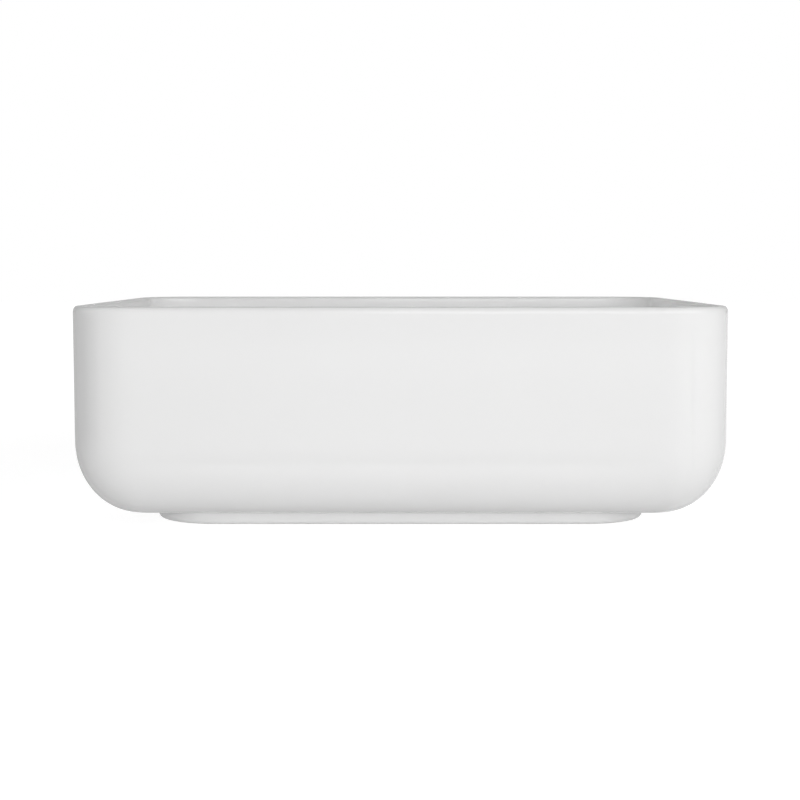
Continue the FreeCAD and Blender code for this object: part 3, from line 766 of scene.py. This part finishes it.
def clamping_rings():
    """The gasket under the flange, and the gasket, washer and nut that clamp the waste from below."""
    gasket = flat_ring(21.6, GASKET, SEAT, FLANGE_BOTTOM, 0.3, 0.4)
    turned_piece("flange_gasket", gasket, RUBBER, "basin")
    bore, edge, lip_top = 21.25, GASKET - 0.3, 25.0
    under = [(bore, WASHER_TOP, 0.4), (edge, WASHER_TOP, 0.9)]
    belly = [(GASKET, (WASHER_TOP + PAD) / 2, 1.2), (edge, PAD, 0.9)]
    lip = [(22.6, PAD, 0.5), (21.9, lip_top, 0.3), (bore, lip_top, 0.2)]
    turned_piece("base_gasket", under + belly + lip, RUBBER, "basin")
    washer = flat_ring(21.3, 30.0, WASHER_BOTTOM, WASHER_TOP, 0.25, 0.35)
    turned_piece("slip_washer", washer, WHITE_ACETAL, "basin")
    hex_nut(
        "lock_nut", BRASS, "basin",
        flats=54.0, bore=21.0, bottom=NUT_BOTTOM, top=WASHER_BOTTOM, ease=0.8,
    )


def cartridge_fixings():
    """The nut that holds the cartridge under the boss, and the cap that guides its spindle."""
    hex_nut(
        "cartridge_nut", GREY_ACETAL, "basin",
        flats=21.5, bore=NECK_BORE, bottom=16.5, top=BOSS_BOTTOM, ease=0.5,
    )
    radius, bottom, top = 10.8, 27.0, 32.5
    roof = PLUNGER_STOP + STOP_ROOM
    section = [(SPINDLE_HOLE, roof), (NECK_BORE, roof), (NECK_BORE, bottom, 0.2), (radius, bottom, 0.3)]
    section += [(radius, top, 1.0), (SPINDLE_HOLE, top, 0.5)]
    turned_piece("guide_cap", section, WHITE_ACETAL, "basin")


# Stage

# Lengths on the stage are in metres.
FLOOR_REACH = 6.0
LAMP_DISTANCE = 2.4
MIDDLE = (0.0, 0.0, 0.07)
WORLD_LIGHT = 0.245
FLOOR_GLOW = 0.04
# The floor is a little below white round the object, and white from farther out.
FLOOR_WHITE = 0.9
FLOOR_FADE = (0.4, 1.2)
# Glaze and metal mirror floor and world at less than white, and the world overhead at less still.
MIRRORED_LOSS = 0.43
OVERHEAD_LOSS = 0.3
OVERHEAD = (0.5, 0.97)
# Painted reflections: what the mirrored floor gains in painted bright bands, and loses in a painted dark
# line, in painted shade and in a painted darker band past the front one.
PAINTED_BRIGHT_GAIN = 0.4
PAINTED_BRIGHT_FADE = 0.45
PAINTED_LINE_LOSS = 2.3
SHADE_LOSS = 0.45
PAINTED_FRONT_GAIN = 0.36
PAINTED_PAST_FRONT_LOSS = 0.47
# The painted bright bands on the right and the painted shade on the left lie at bearings, in degrees,
# from points inside the two front corners.
CORNER_X, CORNER_Y = 0.17, 0.13
PAINTED_BRIGHT_START, PAINTED_BRIGHT_END = (10.0, 30.0), (80.0, 120.0)
PAINTED_LINE_BEARINGS = (40.0, 44.0, 44.0, 48.0)
SHADE_BEARINGS = (58.0, 70.0, 98.0, 120.0)
SHADE_START = (0.4, 0.8)
# The painted bright band in front, and the painted darker band past it, lie ahead of the front wall.
PAINTED_FRONT_BAND = (0.015, 0.035, 0.068, 0.084)
PAINTED_PAST_FRONT_BAND = (0.068, 0.084, 0.08, 0.32)
PAINTED_FRONT_SIDES = (0.13, 0.2)


def ray_kinds(start):
    """Three masks: rays from the camera, mirrored rays, and all rays that show what they meet."""
    kinds = ("Is Camera Ray", "Is Glossy Ray", "Is Transmission Ray")
    camera, mirrored, through = (start.node("ShaderNodeLightPath", output=kind) for kind in kinds)
    return camera, mirrored, camera.larger(mirrored).larger(through)


def mirrored_floor_loss(across, deep, reach):
    """How much of the floor's white the glaze doesn't mirror.

    On the right it mirrors painted light: two bright bands with a painted dark line between them, and in
    front a painted bright band with painted darker floor past it. On the left it mirrors painted shade,
    which fades out near the object.
    """
    right = (across - CORNER_X).bearing(-CORNER_Y - deep)
    left = (-CORNER_X - across).bearing(-CORNER_Y - deep)
    # Painted reflection: bright bands round from the right front corner, with a painted dark line
    # between them.
    painted_bright = right.rise(*PAINTED_BRIGHT_START) * (1 - PAINTED_BRIGHT_FADE * right.rise(*PAINTED_BRIGHT_END))
    painted_bright = painted_bright * (1 - PAINTED_LINE_LOSS * right.band(*PAINTED_LINE_BEARINGS))
    # Painted shade round from the left front corner, for the glaze to mirror.
    shade = left.band(*SHADE_BEARINGS) * reach.rise(*SHADE_START)
    # Painted reflection in front: a bright band ahead of the front wall and a darker band past it, for
    # the glaze to mirror.
    ahead = -HALF_Y * MM - deep
    sheet = PAINTED_FRONT_GAIN * ahead.band(*PAINTED_FRONT_BAND) - PAINTED_PAST_FRONT_LOSS * ahead.band(*PAINTED_PAST_FRONT_BAND)
    sheet = sheet * (1 - abs(across).rise(*PAINTED_FRONT_SIDES))
    return MIRRORED_LOSS - PAINTED_BRIGHT_GAIN * painted_bright + SHADE_LOSS * shade - sheet


def floor_opening(across, deep):
    """1 inside the foot's outline, where the floor is open so that light gets into the recess."""
    half_x, half_y, corner = (size * MM for size in FOOT)
    aside = (abs(across) - (half_x - corner)).larger(0.0)
    behind = (abs(deep) - (half_y - corner)).larger(0.0)
    return 1 - aside.length(behind).rise(corner - 0.0045, corner - 0.0035)


def floor_finish():
    """White to the camera, with the object's shadow on it, greyer where mirrored and with painted
    reflections there, unseen from below.
    """
    material = bpy.data.materials.new("floor")
    material.use_nodes = True
    tree = material.node_tree
    tree.nodes.clear()
    start = Shade(tree)
    camera, mirrored, seen = ray_kinds(start)
    place = start.node("ShaderNodeTexCoord", output="Object")
    across, deep = (start.node("ShaderNodeSeparateXYZ", inputs={0: place}, output=k) for k in range(2))
    reach = start.node("ShaderNodeVectorMath", {"operation": "LENGTH"}, {0: place}, output="Value")
    loss = mirrored * mirrored_floor_loss(across, deep, reach)
    level = (FLOOR_WHITE + (1 - FLOOR_WHITE) * reach.rise(*FLOOR_FADE)) * (1 - loss)
    faint = start.node("ShaderNodeBsdfDiffuse", inputs={"Color": grey(0.28)})
    white = start.node("ShaderNodeEmission", inputs={"Color": level})
    shown = start.node("ShaderNodeAddShader", inputs={0: faint, 1: white})
    bounce = start.node("ShaderNodeBsdfDiffuse", inputs={"Color": grey(0.82)})
    glow = start.node("ShaderNodeEmission", inputs={"Color": grey(1.0), "Strength": FLOOR_GLOW})
    lit = start.node("ShaderNodeAddShader", inputs={0: bounce, 1: glow})
    top = start.node("ShaderNodeMixShader", inputs={0: seen, 1: lit, 2: shown})
    below = camera * start.node("ShaderNodeNewGeometry", output="Backfacing")
    open_floor = below.larger(floor_opening(across, deep))
    clear = start.node("ShaderNodeBsdfTransparent")
    whole = start.node("ShaderNodeMixShader", inputs={0: open_floor, 1: top, 2: clear})
    whole.end("ShaderNodeOutputMaterial")
    return material


def studio_floor():
    """A wide pale floor."""
    bm = bmesh.new()
    bmesh.ops.create_grid(bm, x_segments=1, y_segments=1, size=FLOOR_REACH)
    mesh = bpy.data.meshes.new("floor")
    bm.to_mesh(mesh)
    bm.free()
    mesh.materials.append(floor_finish())
    floor = bpy.data.objects.new("floor", mesh)
    bpy.context.scene.collection.objects.link(floor)


def studio_world():
    """White behind the object and an even grey light on it. What it mirrors darkens overhead."""
    world = bpy.data.worlds.new("studio")
    bpy.context.scene.world = world
    world.use_nodes = True
    tree = world.node_tree
    tree.nodes.clear()
    start = Shade(tree)
    mirrored, seen = ray_kinds(start)[1:]
    way = start.node("ShaderNodeTexCoord", output="Generated")
    overhead = start.node("ShaderNodeSeparateXYZ", inputs={0: way}, output=2).rise(*OVERHEAD)
    loss = mirrored * (MIRRORED_LOSS + OVERHEAD_LOSS * overhead)
    level = seen * (1 - loss) + (1 - seen) * WORLD_LIGHT
    sky = start.node("ShaderNodeBackground", inputs={"Color": level})
    sky.end("ShaderNodeOutputWorld")


def softbox(name, turn, rise, size, power, mirrored=True, spread=180.0, aim=MIDDLE):
    """A rectangular soft lamp, turned to the right of the camera and raised, that faces a point.

    The glaze shows only a lamp that is mirrored. The others light it evenly and leave no spots in it.
    A narrow spread keeps the light on one face.
    """
    data = bpy.data.lights.new(name, "AREA")
    data.shape = "RECTANGLE"
    data.size, data.size_y = size
    data.energy = power
    data.spread = math.radians(spread)
    lamp = bpy.data.objects.new(name, data)
    turn, rise = math.radians(turn), math.radians(rise)
    flat = math.cos(rise)
    way = Vector((math.sin(turn) * flat, -math.cos(turn) * flat, math.sin(rise)))
    lamp.location = Vector(aim) + way * LAMP_DISTANCE
    lamp.rotation_euler = (-way).to_track_quat("-Z", "Y").to_euler()
    lamp.visible_glossy = mirrored
    bpy.context.scene.collection.objects.link(lamp)


def beam(name, turn, rise, size, power, aim=MIDDLE):
    """A narrow lamp for one face, which the glaze doesn't show."""
    softbox(name, turn, rise, size, power, mirrored=False, spread=3.0, aim=aim)


def photo_camera():
    """The photograph's view: almost level, a little above the rim."""
    data = bpy.data.cameras.new("photo_camera")
    data.lens = 71.24
    data.sensor_width = 36.0
    camera = bpy.data.objects.new("photo_camera", data)
    camera.location = (-0.0003, -1.1184, 0.16465)
    camera.rotation_euler = (math.radians(90.0 - 4.84), 0.0, 0.0)
    bpy.context.scene.collection.objects.link(camera)
    bpy.context.scene.camera = camera


photo_camera()
studio_world()
studio_floor()
softbox("key", turn=29.0, rise=19.0, size=(2.8, 1.0), power=13.7)
softbox("front_fill", turn=0.0, rise=6.0, size=(2.4, 0.5), power=22.0, mirrored=False)
softbox("right_fill", turn=84.0, rise=14.0, size=(1.6, 1.0), power=8.2, mirrored=False)
softbox("left_edge", turn=-68.0, rise=33.0, size=(0.35, 0.35), power=1.2)
beam("back_side", turn=180.0, rise=12.0, size=(0.36, 0.22), power=0.12, aim=(0.0, 0.1, 0.08))
beam("left_side", turn=-90.0, rise=3.0, size=(0.22, 0.2), power=0.042, aim=(-0.2, 0.045, 0.05))
beam("bowl_light", turn=0.0, rise=89.9, size=(0.26, 0.18), power=0.055)
beam("under_light", turn=0.0, rise=-89.9, size=(0.28, 0.2), power=0.04)
bpy.context.scene.view_settings.view_transform = "Standard"

ceramic()
waste()
plug_cap()
cap_seal()
spindle()
clamping_rings()
cartridge_fixings()

# The cartridge's inner pieces keep their solids, which are finished shapes.
NODE_FINISHES = {
    "cartridge_housing": GREY_ACETAL,
    "end_plug": WHITE_ACETAL,
    "return_spring": WIRE,
    "ratchet_rotor": WHITE_ACETAL,
    "plunger": GREY_ACETAL,
}
for node, material in NODE_FINISHES.items():
    nodes[node].material_slots[0].material = material
